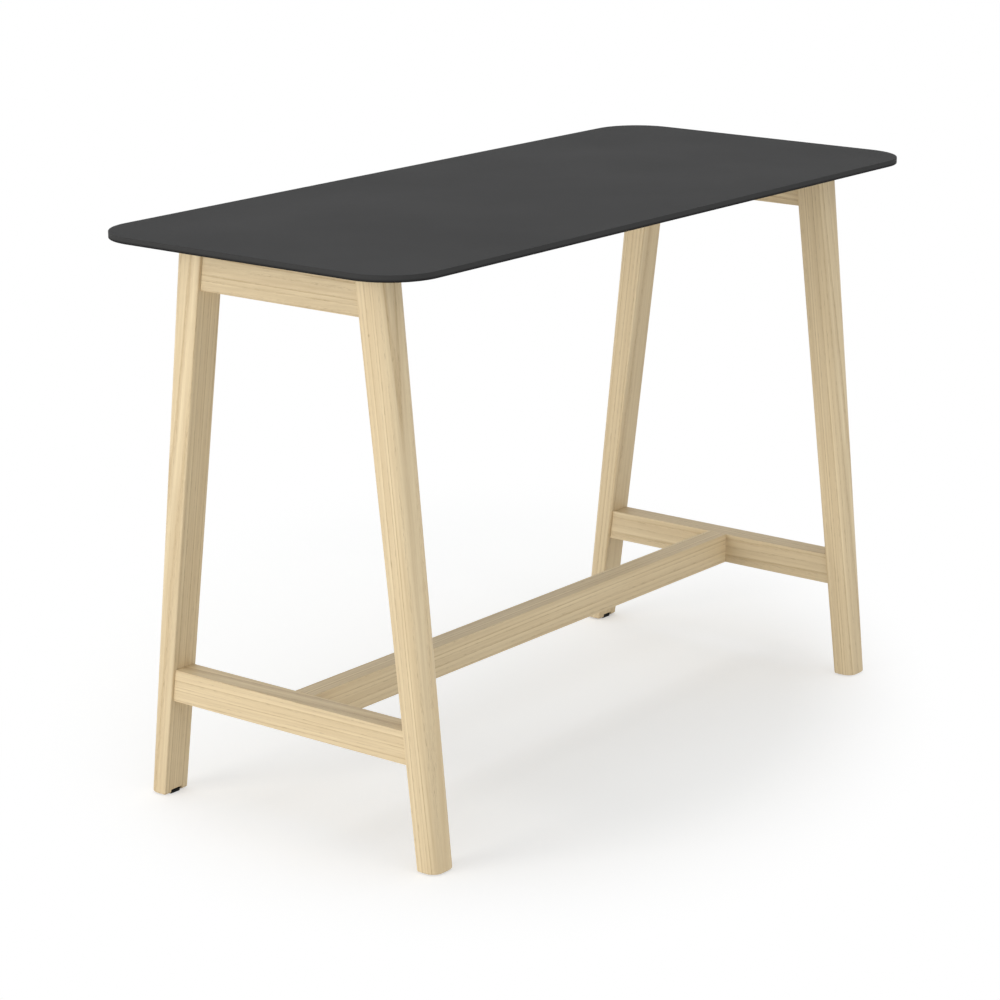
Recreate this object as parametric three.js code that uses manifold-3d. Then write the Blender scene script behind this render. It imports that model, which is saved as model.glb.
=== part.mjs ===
// Standing meeting table: a thin dark board on two splayed ash end frames, joined by a footrest stretcher.
// Millimetres, +Z up. The origin is on the floor under the middle of the top, and X runs along the top.
// Left and right are -X and +X, front and back are -Y and +Y.

import * as THREE from 'three';
import { mergeVertices } from 'three/addons/utils/BufferGeometryUtils.js';
import Module from 'manifold-3d';

const wasm = await Module();
wasm.setup();

// Driving dimensions: the top
const TABLE_HEIGHT = 1050;
const TOP_LENGTH = 1600;
const TOP_WIDTH = 700;
const TOP_THICKNESS = 12;
const TOP_CORNER_RADIUS = 100;
const TOP_EDGE_EASE = 1;

// Driving dimensions: the end frames, with leg places measured across the table from its middle
const END_OVERHANG = 100;
const LEG_THICKNESS = 60;
const LEG_FOOT_INNER = 296;
const LEG_HEAD_INNER = 169.5;
const LEG_FOOT_WIDTH = 41;
const LEG_HEAD_WIDTH = 62;
const LEG_CORNER_RADIUS = 21;
const RAIL_THICKNESS = 48;
const UPPER_RAIL_HEIGHT = 88;
const LOWER_RAIL_HEIGHT = 60;
const LOWER_RAIL_BOTTOM = 187;
const TENON = { thickness: 12, height: 40, length: 52 };

// Driving dimensions: the stretcher and its end fittings
const STRETCHER_WIDTH = 44;
const STUD = { radius: 4, inRail: 29, inStretcher: 54 };
const FITTING_POCKET = { radius: 12, fromEnd: 44, aboveStud: 12 };
const CRESCENT_HEIGHT = 16;
const CRESCENT_DEPTH = 6.2;
const NUT = { acrossFlats: 13, thickness: 6.5 };
const DOWEL = { radius: 5, length: 40, offset: 20 };

// Driving dimensions: the ash bearers under the top, and the screws that hold the top to them and to the frames
const BEARER = { offset: 110, width: 32, height: 50, dowelOffset: 12 };
const TOP_SCREW_SPACING = 560;
const FRAME_SCREW_OFFSET = 60;
const SCREW = { headRadius: 4.5, headHeight: 3, headEase: 1, shankRadius: 2.2, point: 2, inTop: 8, inWood: 14 };
const SCREW_POCKET_RADIUS = 6;

// Driving dimensions: the levelling feet
const LEG_FLOOR_GAP = 2.5;
const FOOT_INSET = 15;
const FOOT_POCKET = { width: 27.2, length: 29.2, top: 9 };
const GLIDE = { width: 26, length: 28, corner: 4, height: 5.8, ease: 1, socketRadius: 5.6, socketFloor: 2 };
const STEM = { radius: 3.85, top: 41, endEase: 1, hexFlats: 12, hexHeight: 2.4, collarHeight: 2 };
const SLEEVE = { bore: 4.15, radius: 6.2, length: 24 };
const STEM_BORE_TOP = 43;

// Clearance between pieces that touch, and how finely round shapes are faceted
const FIT_GAP = 0.3;
const CORNER_STEPS = 6;
const ROUND_SIDES = 20;
const SMALL_SIDES = 10;
const HEX_SIDES = 6;
const CUT_MARGIN = 5;
const CUT_OVERLAP = 1;

// Derived places
const UNDERSIDE = TABLE_HEIGHT - TOP_THICKNESS;
const FRAME_X = TOP_LENGTH / 2 - END_OVERHANG - LEG_THICKNESS / 2;
const RAIL_INNER_X = FRAME_X - RAIL_THICKNESS / 2;
const LOWER_RAIL_MIDDLE = LOWER_RAIL_BOTTOM + LOWER_RAIL_HEIGHT / 2;
const UPPER_RAIL_BOTTOM = UNDERSIDE - UPPER_RAIL_HEIGHT;
const UPPER_RAIL_MIDDLE = UNDERSIDE - UPPER_RAIL_HEIGHT / 2;
const FOOT_CENTRE_Y = LEG_FOOT_INNER + FOOT_INSET;
const FRAME_TOP = UNDERSIDE - FIT_GAP;
const BEARER_BOTTOM = FRAME_TOP - BEARER.height;
const SCREW_SEAT = FRAME_TOP - SCREW.inWood;

const X_AXIS = new THREE.Vector3(1, 0, 0);
const Y_AXIS = new THREE.Vector3(0, 1, 0);
const Z_AXIS = new THREE.Vector3(0, 0, 1);

// Finishes
const finish = (color, roughness, metalness) => new THREE.MeshStandardMaterial({ color, roughness, metalness });
const FINISHES = {
  laminate: finish(0x4a4a4a, 0.6, 0),
  ash: finish(0xd9c29a, 0.55, 0),
  beech: finish(0xc9a778, 0.6, 0),
  zincSteel: finish(0xb4b8bc, 0.35, 0.9),
  blackPlastic: finish(0x161616, 0.5, 0),
};

// Solids: closed geometry to a solid for joining and cutting, and back again
function solidOf(geometry) {
  const bare = geometry.clone();
  bare.deleteAttribute('normal');
  bare.deleteAttribute('uv');
  const merged = mergeVertices(bare, 1e-4);
  const vertProperties = new Float32Array(merged.attributes.position.array);
  const triVerts = new Uint32Array(merged.index.array);
  return new wasm.Manifold(new wasm.Mesh({ numProp: 3, vertProperties, triVerts }));
}

function geometryOf(solid) {
  const mesh = solid.getMesh();
  const geometry = new THREE.BufferGeometry();
  geometry.setAttribute('position', new THREE.BufferAttribute(mesh.vertProperties, 3));
  geometry.setIndex(new THREE.BufferAttribute(mesh.triVerts, 1));
  geometry.computeVertexNormals();
  return geometry;
}

function cut(geometry, tools) {
  return geometryOf(tools.reduce((rest, tool) => rest.subtract(solidOf(tool)), solidOf(geometry)));
}

function join(geometries) {
  return geometryOf(geometries.map(solidOf).reduce((whole, next) => whole.add(next)));
}

// A box given by its lowest and highest corners
function boxBetween(low, high) {
  const size = high.map((value, axis) => value - low[axis]);
  const middle = high.map((value, axis) => (value + low[axis]) / 2);
  return new THREE.BoxGeometry(...size).translate(...middle);
}

// A round or hexagonal rod along Z or X, from one end to the other
function rodAlongZ(radius, bottom, top, x = 0, y = 0, sides = SMALL_SIDES) {
  const rod = new THREE.CylinderGeometry(radius, radius, top - bottom, sides);
  return rod.rotateX(Math.PI / 2).translate(x, y, (bottom + top) / 2);
}

function rodAlongX(radius, start, end, y, z, sides = SMALL_SIDES) {
  const rod = new THREE.CylinderGeometry(radius, radius, end - start, sides);
  return rod.rotateZ(Math.PI / 2).translate((start + end) / 2, y, z);
}

// A shape drawn in Y and Z, pushed along X and centred on x = 0
function extrudeAlongX(shape, length, curveSegments = CORNER_STEPS) {
  const geometry = new THREE.ExtrudeGeometry(shape, { depth: length, bevelEnabled: false, curveSegments });
  geometry.translate(0, 0, -length / 2);
  return geometry.applyMatrix4(new THREE.Matrix4().makeBasis(Y_AXIS, Z_AXIS, X_AXIS));
}

// A rectangle with round corners, centred on the origin
function roundedRectangle(length, width, radius) {
  const cornerX = length / 2 - radius;
  const cornerY = width / 2 - radius;
  const outline = new THREE.Shape();
  outline.absarc(cornerX, cornerY, radius, 0, Math.PI / 2);
  outline.absarc(-cornerX, cornerY, radius, Math.PI / 2, Math.PI);
  outline.absarc(-cornerX, -cornerY, radius, Math.PI, 1.5 * Math.PI);
  outline.absarc(cornerX, -cornerY, radius, 1.5 * Math.PI, 2 * Math.PI);
  outline.closePath();
  return outline;
}

// A flat slab of that outline, with its upper and lower edges eased
function easedSlab(outline, bottom, thickness, ease) {
  const slab = new THREE.ExtrudeGeometry(outline, {
    depth: thickness - 2 * ease,
    bevelThickness: ease,
    bevelSize: ease,
    bevelOffset: -ease,
    bevelSegments: 1,
    curveSegments: CORNER_STEPS,
  });
  return slab.translate(0, 0, bottom + ease);
}

// A turned piece, from radius and height points
function turned(points, sides = ROUND_SIDES) {
  const profile = points.map(([radius, height]) => new THREE.Vector2(radius, height));
  return new THREE.LatheGeometry(profile, sides).rotateX(Math.PI / 2);
}

function piece(name, geometry, material) {
  const mesh = new THREE.Mesh(geometry, material);
  mesh.name = name;
  return mesh;
}

// The leg: at height z its inner face is this far from the table's middle, and this wide
function legInnerAt(z) {
  return THREE.MathUtils.mapLinear(z, 0, UNDERSIDE, LEG_FOOT_INNER, LEG_HEAD_INNER);
}

function legWidthAt(z) {
  return THREE.MathUtils.mapLinear(z, 0, UNDERSIDE, LEG_FOOT_WIDTH, LEG_HEAD_WIDTH);
}

// The leg's section at its head: square on the inner side, round on both outer corners
function legSection() {
  const half = LEG_THICKNESS / 2;
  const radius = LEG_CORNER_RADIUS;
  const section = new THREE.Shape();
  section.moveTo(-half, 0);
  section.lineTo(half, 0);
  section.absarc(half - radius, LEG_HEAD_WIDTH - radius, radius, 0, Math.PI / 2);
  section.absarc(-half + radius, LEG_HEAD_WIDTH - radius, radius, Math.PI / 2, Math.PI);
  section.closePath();
  return section;
}

// The blank of a leg: the section pushed upwards, then leaned and tapered with its round corners kept
function legBlank() {
  const depth = UNDERSIDE - FIT_GAP - LEG_FLOOR_GAP;
  const options = { depth, bevelEnabled: false, curveSegments: CORNER_STEPS };
  const blank = new THREE.ExtrudeGeometry(legSection(), options).translate(0, 0, LEG_FLOOR_GAP);
  const spots = blank.attributes.position;
  for (let i = 0; i < spots.count; i += 1) {
    const z = spots.getZ(i);
    const across = spots.getY(i);
    const narrowing = across > 0 ? LEG_HEAD_WIDTH - legWidthAt(z) : 0;
    spots.setY(i, legInnerAt(z) + across - narrowing);
  }
  return blank;
}

// A loose tenon between leg and rail, with round edges, or the mortise for it when it is grown
function tenonAt(z, grown = 0) {
  const half = TENON.thickness / 2 + grown;
  const straight = TENON.height / 2 - TENON.thickness / 2;
  const section = new THREE.Shape();
  section.absarc(0, straight, half, 0, Math.PI);
  section.absarc(0, -straight, half, Math.PI, 2 * Math.PI);
  section.closePath();
  const depth = TENON.length + 2 * grown;
  const options = { depth, bevelEnabled: false, curveSegments: CORNER_STEPS };
  const bar = new THREE.ExtrudeGeometry(section, options).translate(0, 0, -depth / 2);
  return bar.rotateX(Math.PI / 2).translate(0, legInnerAt(z), z);
}

// A finished leg: the blank with its two mortises, a pocket for its levelling foot that is open to the inner
// face, where a spanner reaches the stem, and the bores above it
function legGeometry() {
  const sleeveTop = FOOT_POCKET.top + SLEEVE.length + FIT_GAP;
  const pocketHalf = FOOT_POCKET.width / 2;
  const pocketLow = [-pocketHalf, LEG_FOOT_INNER - CUT_MARGIN, LEG_FLOOR_GAP - CUT_MARGIN];
  const pocketHigh = [pocketHalf, FOOT_CENTRE_Y + FOOT_POCKET.length / 2, FOOT_POCKET.top];
  return cut(legBlank(), [
    tenonAt(LOWER_RAIL_MIDDLE, FIT_GAP),
    tenonAt(UPPER_RAIL_MIDDLE, FIT_GAP),
    boxBetween(pocketLow, pocketHigh),
    rodAlongZ(SLEEVE.radius + FIT_GAP, FOOT_POCKET.top - CUT_OVERLAP, sleeveTop, 0, FOOT_CENTRE_Y),
    rodAlongZ(STEM.radius + 2 * FIT_GAP, sleeveTop - CUT_OVERLAP, STEM_BORE_TOP, 0, FOOT_CENTRE_Y),
  ]);
}

// A cross rail: its ends follow the slope of the legs, with a mortise in each
function railBlank(bottom, top) {
  const lowEnd = legInnerAt(bottom) - FIT_GAP;
  const highEnd = legInnerAt(top) - FIT_GAP;
  const side = new THREE.Shape();
  side.moveTo(-lowEnd, bottom);
  side.lineTo(lowEnd, bottom);
  side.lineTo(highEnd, top);
  side.lineTo(-highEnd, top);
  side.closePath();
  const middle = (bottom + top) / 2;
  const mortises = [0, Math.PI].map((turn) => tenonAt(middle, FIT_GAP).rotateZ(turn));
  return cut(extrudeAlongX(side, RAIL_THICKNESS), mortises);
}

// Bores in a rail's inner face, given in the frame's own place where the inner face is at low x
function railBore(radius, depth, y, z) {
  const face = -RAIL_THICKNESS / 2;
  return rodAlongX(radius + FIT_GAP, face - CUT_MARGIN, face + depth + FIT_GAP, y, z);
}

function lowerRailGeometry() {
  const blank = railBlank(LOWER_RAIL_BOTTOM, LOWER_RAIL_BOTTOM + LOWER_RAIL_HEIGHT);
  const dowelBores = dowelHeights().map((z) => railBore(DOWEL.radius, DOWEL.length / 2, 0, z));
  return cut(blank, [railBore(STUD.radius, STUD.inRail, 0, LOWER_RAIL_MIDDLE), ...dowelBores]);
}

// The way for a screw that is driven up into the top: a pocket for its head from below, then a bore
function screwWay(bottom, x, y) {
  const pocket = rodAlongZ(SCREW_POCKET_RADIUS, bottom - CUT_MARGIN, SCREW_SEAT, x, y, ROUND_SIDES);
  const boreRadius = SCREW.shankRadius + 2 * FIT_GAP;
  const bore = rodAlongZ(boreRadius, SCREW_SEAT - CUT_OVERLAP, FRAME_TOP + CUT_MARGIN, x, y);
  return [pocket, bore];
}

function upperRailGeometry() {
  const blank = railBlank(UPPER_RAIL_BOTTOM, FRAME_TOP);
  const dowelBores = [-BEARER.offset, BEARER.offset].flatMap((y) =>
    bearerDowelHeights().map((z) => railBore(DOWEL.radius, DOWEL.length / 2, y, z)));
  const screwWays = [-1, 1].flatMap((across) => screwWay(UPPER_RAIL_BOTTOM, 0, across * FRAME_SCREW_OFFSET));
  return cut(blank, [...dowelBores, ...screwWays]);
}

// The levelling foot: a glide that stands on the floor, a stem that turns in it, and a sleeve in the leg
function glideGeometry() {
  const outline = roundedRectangle(GLIDE.width, GLIDE.length, GLIDE.corner);
  const socketTop = GLIDE.height + CUT_MARGIN;
  return cut(easedSlab(outline, 0, GLIDE.height, GLIDE.ease), [
    rodAlongZ(GLIDE.socketRadius, GLIDE.socketFloor, socketTop, 0, 0, ROUND_SIDES),
  ]);
}

function stemGeometry() {
  const bottom = GLIDE.socketFloor + FIT_GAP;
  const collar = GLIDE.socketRadius - FIT_GAP;
  const hexBottom = GLIDE.height + FIT_GAP;
  const hexRadius = STEM.hexFlats / Math.sqrt(3);
  const rod = turned([
    [0, bottom],
    [collar, bottom],
    [collar, bottom + STEM.collarHeight],
    [STEM.radius, bottom + STEM.collarHeight],
    [STEM.radius, STEM.top - STEM.endEase],
    [STEM.radius - STEM.endEase, STEM.top],
    [0, STEM.top],
  ], SMALL_SIDES);
  const hex = rodAlongZ(hexRadius, hexBottom, hexBottom + STEM.hexHeight, 0, 0, HEX_SIDES);
  return join([rod, hex]);
}

function sleeveGeometry() {
  const bottom = FOOT_POCKET.top + FIT_GAP;
  const top = FOOT_POCKET.top + SLEEVE.length;
  return turned([
    [SLEEVE.bore, bottom],
    [SLEEVE.radius, bottom],
    [SLEEVE.radius, top],
    [SLEEVE.bore, top],
    [SLEEVE.bore, bottom],
  ], SMALL_SIDES);
}

// One leg with its foot, standing on the side of the frame's middle that +Y points to
function legWithFoot(corner) {
  const group = new THREE.Group();
  const foot = new THREE.Group();
  foot.position.y = FOOT_CENTRE_Y;
  foot.add(piece(`levelling_glide_${corner}`, glideGeometry(), FINISHES.blackPlastic));
  foot.add(piece(`levelling_stem_${corner}`, stemGeometry(), FINISHES.zincSteel));
  foot.add(piece(`insert_sleeve_${corner}`, sleeveGeometry(), FINISHES.zincSteel));
  group.add(piece(`leg_${corner}`, legGeometry(), FINISHES.ash));
  group.add(piece(`upper_tenon_${corner}`, tenonAt(UPPER_RAIL_MIDDLE), FINISHES.beech));
  group.add(piece(`lower_tenon_${corner}`, tenonAt(LOWER_RAIL_MIDDLE), FINISHES.beech));
  group.add(foot);
  return group;
}

// The stretcher's end fitting, in the frame's own place: stud, crescent washer, nut and dowels
function dowelHeights() {
  return [-DOWEL.offset, DOWEL.offset].map((rise) => LOWER_RAIL_MIDDLE + rise);
}

function crescentGeometry(pocketX) {
  const radius = FITTING_POCKET.radius - FIT_GAP;
  const low = LOWER_RAIL_MIDDLE - CRESCENT_HEIGHT / 2;
  const high = LOWER_RAIL_MIDDLE + CRESCENT_HEIGHT / 2;
  const disc = solidOf(rodAlongZ(radius, low, high, pocketX, 0, ROUND_SIDES));
  const flatX = pocketX + radius - CRESCENT_DEPTH;
  const keepLow = [flatX, -radius, low - CUT_OVERLAP];
  const keepHigh = [flatX + 2 * radius, radius, high + CUT_OVERLAP];
  const keep = solidOf(boxBetween(keepLow, keepHigh));
  const hole = rodAlongX(STUD.radius + FIT_GAP, flatX - CUT_OVERLAP, flatX + 2 * radius, 0, LOWER_RAIL_MIDDLE);
  return cut(geometryOf(disc.intersect(keep)), [hole]);
}

function nutGeometry(flatX) {
  const end = flatX - FIT_GAP;
  const start = end - NUT.thickness;
  const radius = NUT.acrossFlats / Math.sqrt(3);
  const blank = rodAlongX(radius, start, end, 0, LOWER_RAIL_MIDDLE, HEX_SIDES);
  const hole = rodAlongX(STUD.radius + FIT_GAP, start - CUT_OVERLAP, end + CUT_OVERLAP, 0, LOWER_RAIL_MIDDLE);
  return cut(blank, [hole]);
}

function stretcherFitting(end) {
  const group = new THREE.Group();
  const face = -RAIL_THICKNESS / 2;
  const pocketX = face - FITTING_POCKET.fromEnd;
  const flatX = pocketX + FITTING_POCKET.radius - FIT_GAP - CRESCENT_DEPTH;
  const stud = rodAlongX(STUD.radius, face - STUD.inStretcher, face + STUD.inRail, 0, LOWER_RAIL_MIDDLE);
  group.add(piece(`stretcher_stud_${end}`, stud, FINISHES.zincSteel));
  group.add(piece(`crescent_washer_${end}`, crescentGeometry(pocketX), FINISHES.zincSteel));
  group.add(piece(`stretcher_nut_${end}`, nutGeometry(flatX), FINISHES.zincSteel));
  dowelHeights().forEach((z, index) => {
    const dowel = rodAlongX(DOWEL.radius, face - DOWEL.length / 2, face + DOWEL.length / 2, 0, z);
    group.add(piece(`stretcher_dowel_${end}_${['low', 'high'][index]}`, dowel, FINISHES.beech));
  });
  return group;
}

// The screws: a round head below a straight shank, pointing up
function screwGeometry() {
  const shankLength = FIT_GAP + SCREW.inWood + FIT_GAP + SCREW.inTop;
  return turned([
    [0, -SCREW.headHeight],
    [SCREW.headRadius - SCREW.headEase, -SCREW.headHeight],
    [SCREW.headRadius, -SCREW.headHeight + SCREW.headEase],
    [SCREW.headRadius, 0],
    [SCREW.shankRadius, 0],
    [SCREW.shankRadius, shankLength - SCREW.point],
    [0, shankLength],
  ], SMALL_SIDES);
}

// Dowels between the bearers' ends and the upper rail, in the frame's own place
function bearerDowelHeights() {
  return [-BEARER.dowelOffset, BEARER.dowelOffset].map((rise) => BEARER_BOTTOM + BEARER.height / 2 + rise);
}

function bearerDowels(end) {
  const group = new THREE.Group();
  const face = -RAIL_THICKNESS / 2;
  for (const [side, across] of Object.entries({ front: -1, back: 1 })) {
    const y = end === 'right' ? across * BEARER.offset : -across * BEARER.offset;
    bearerDowelHeights().forEach((z, index) => {
      const dowel = rodAlongX(DOWEL.radius, face - DOWEL.length / 2, face + DOWEL.length / 2, y, z);
      group.add(piece(`bearer_dowel_${end}_${side}_${['low', 'high'][index]}`, dowel, FINISHES.beech));
    });
  }
  return group;
}

// An end frame in its own place: its middle plane at x = 0, the table's outside towards +X
function endFrame(end) {
  const frame = new THREE.Group();
  for (const [side, turn] of Object.entries(end === 'right' ? { back: 0, front: 1 } : { front: 0, back: 1 })) {
    const leg = legWithFoot(`${side}_${end}`);
    leg.rotation.z = turn * Math.PI;
    frame.add(leg);
  }
  frame.add(piece(`upper_rail_${end}`, upperRailGeometry(), FINISHES.ash));
  frame.add(piece(`lower_rail_${end}`, lowerRailGeometry(), FINISHES.ash));
  frame.add(stretcherFitting(end));
  frame.add(bearerDowels(end));
  return frame;
}

// The stretcher, with a stud bore, two dowel bores and a fitting pocket at each end
function stretcherGeometry() {
  const halfLength = RAIL_INNER_X - FIT_GAP;
  const halfWidth = STRETCHER_WIDTH / 2;
  const low = [-halfLength, -halfWidth, LOWER_RAIL_BOTTOM];
  const high = [halfLength, halfWidth, LOWER_RAIL_BOTTOM + LOWER_RAIL_HEIGHT];
  const pocketX = RAIL_INNER_X - FITTING_POCKET.fromEnd;
  const pocketTop = LOWER_RAIL_MIDDLE + FITTING_POCKET.aboveStud;
  const outside = RAIL_INNER_X + CUT_MARGIN;
  const dowelEnd = RAIL_INNER_X - DOWEL.length / 2 - FIT_GAP;
  const studRadius = STUD.radius + FIT_GAP;
  const tools = [
    rodAlongX(studRadius, pocketX, outside, 0, LOWER_RAIL_MIDDLE),
    rodAlongZ(FITTING_POCKET.radius, LOWER_RAIL_BOTTOM - CUT_MARGIN, pocketTop, pocketX, 0, ROUND_SIDES),
    ...dowelHeights().map((z) => rodAlongX(DOWEL.radius + FIT_GAP, dowelEnd, outside, 0, z)),
  ];
  const bothEnds = [0, Math.PI].flatMap((turn) => tools.map((tool) => tool.clone().rotateZ(turn)));
  return cut(boxBetween(low, high), bothEnds);
}

// Where the top's screws stand: three along each bearer, two along each upper rail
function bearerScrewPlaces() {
  const places = [];
  for (const along of [-1, 0, 1]) {
    for (const across of [-1, 1]) {
      const name = `top_screw_${places.length + 1}`;
      places.push({ name, x: along * TOP_SCREW_SPACING, y: across * BEARER.offset });
    }
  }
  return places;
}

function frameScrewPlaces() {
  const places = [];
  for (const [end, along] of Object.entries({ left: -1, right: 1 })) {
    for (const [side, across] of Object.entries({ front: -1, back: 1 })) {
      const y = across * FRAME_SCREW_OFFSET;
      places.push({ name: `frame_screw_${side}_${end}`, x: along * FRAME_X, y });
    }
  }
  return places;
}

function screwPlaces() {
  return [...bearerScrewPlaces(), ...frameScrewPlaces()];
}

// The top: a rounded rectangle with eased edges and blind screw bores underneath
function tabletopGeometry() {
  const outline = roundedRectangle(TOP_LENGTH, TOP_WIDTH, TOP_CORNER_RADIUS);
  const board = easedSlab(outline, UNDERSIDE, TOP_THICKNESS, TOP_EDGE_EASE);
  const boreTop = UNDERSIDE + SCREW.inTop + FIT_GAP;
  const boreRadius = SCREW.shankRadius + FIT_GAP;
  const boreBottom = UNDERSIDE - CUT_OVERLAP;
  return cut(board, screwPlaces().map(({ x, y }) => rodAlongZ(boreRadius, boreBottom, boreTop, x, y)));
}

// A bearer: a solid ash bar under the top, with two dowel bores in each end and its screw ways from below
function bearerGeometry() {
  const halfLength = RAIL_INNER_X - FIT_GAP;
  const half = BEARER.width / 2;
  const outside = RAIL_INNER_X + CUT_MARGIN;
  const dowelEnd = RAIL_INNER_X - DOWEL.length / 2 - FIT_GAP;
  const boreRadius = DOWEL.radius + FIT_GAP;
  const dowelBores = bearerDowelHeights().map((z) => rodAlongX(boreRadius, dowelEnd, outside, 0, z));
  const bothEnds = [0, Math.PI].flatMap((turn) => dowelBores.map((bore) => bore.clone().rotateZ(turn)));
  const screwWays = [-1, 0, 1].flatMap((along) => screwWay(BEARER_BOTTOM, along * TOP_SCREW_SPACING, 0));
  const bar = boxBetween([-halfLength, -half, BEARER_BOTTOM], [halfLength, half, FRAME_TOP]);
  return cut(bar, [...bothEnds, ...screwWays]);
}

// The whole table
const table = new THREE.Group();
table.add(piece('tabletop', tabletopGeometry(), FINISHES.laminate));
table.add(piece('stretcher', stretcherGeometry(), FINISHES.ash));

for (const [end, along] of Object.entries({ left: -1, right: 1 })) {
  const frame = endFrame(end);
  frame.position.x = along * FRAME_X;
  frame.rotation.z = along < 0 ? Math.PI : 0;
  table.add(frame);
}

for (const [side, across] of Object.entries({ front: -1, back: 1 })) {
  const bearer = piece(`bearer_${side}`, bearerGeometry(), FINISHES.ash);
  bearer.position.y = across * BEARER.offset;
  table.add(bearer);
}

for (const { name, x, y } of screwPlaces()) {
  const screw = piece(name, screwGeometry(), FINISHES.zincSteel);
  screw.position.set(x, y, SCREW_SEAT - FIT_GAP);
  table.add(screw);
}

export default table;
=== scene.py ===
"""A standing meeting table: a thin dark board on two splayed ash end frames, joined by a footrest stretcher."""

import logging
import math
from contextlib import contextmanager
from dataclasses import dataclass
from enum import Enum
from typing import Callable, Iterator, Optional, Union

import bmesh
import bpy
from mathutils import Euler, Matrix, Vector


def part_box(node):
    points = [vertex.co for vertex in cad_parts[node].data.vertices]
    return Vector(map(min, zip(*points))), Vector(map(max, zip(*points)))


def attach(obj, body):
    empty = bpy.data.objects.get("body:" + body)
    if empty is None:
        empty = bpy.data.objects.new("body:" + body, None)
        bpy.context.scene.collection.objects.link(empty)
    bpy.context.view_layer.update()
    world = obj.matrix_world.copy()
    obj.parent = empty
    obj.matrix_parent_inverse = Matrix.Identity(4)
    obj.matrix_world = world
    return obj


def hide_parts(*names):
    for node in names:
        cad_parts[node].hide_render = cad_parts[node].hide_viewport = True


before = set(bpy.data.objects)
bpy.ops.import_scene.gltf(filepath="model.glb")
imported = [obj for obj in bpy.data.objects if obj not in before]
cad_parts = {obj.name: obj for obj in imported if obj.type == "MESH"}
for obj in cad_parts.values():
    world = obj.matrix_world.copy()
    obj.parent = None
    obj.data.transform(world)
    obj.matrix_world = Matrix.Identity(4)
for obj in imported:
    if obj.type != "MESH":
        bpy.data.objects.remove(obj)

logger = logging.getLogger("standing_table")

SAME_PLACE = 1e-5
CUT_MARGIN = 0.005

Colour = tuple[float, float, float]
Socket = bpy.types.NodeSocket
SocketValue = Union[Socket, float, Colour, Vector, Euler, str]


class End(Enum):
    """The two ends of the table, seen from the front long side."""

    LEFT = -1
    RIGHT = 1

    @property
    def label(self) -> str:
        """The end's name as the pieces carry it."""
        return self.name.lower()


class Side(Enum):
    """The two long sides of the table."""

    FRONT = -1
    BACK = 1

    @property
    def label(self) -> str:
        """The side's name as the pieces carry it."""
        return self.name.lower()


class Slot(Enum):
    """The finishes that the pieces are made in, as the record names them."""

    LAMINATE = "laminate"
    ASH = "ash"
    BEECH = "beech"
    ZINC = "zinc_steel"
    NYLON = "black_plastic"


def start_clean() -> None:
    """Leave edit mode and deselect everything."""
    active = bpy.context.view_layer.objects.active
    if active is not None and active.mode != "OBJECT":
        bpy.ops.object.mode_set(mode="OBJECT")
    bpy.ops.object.select_all(action="DESELECT")


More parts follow.
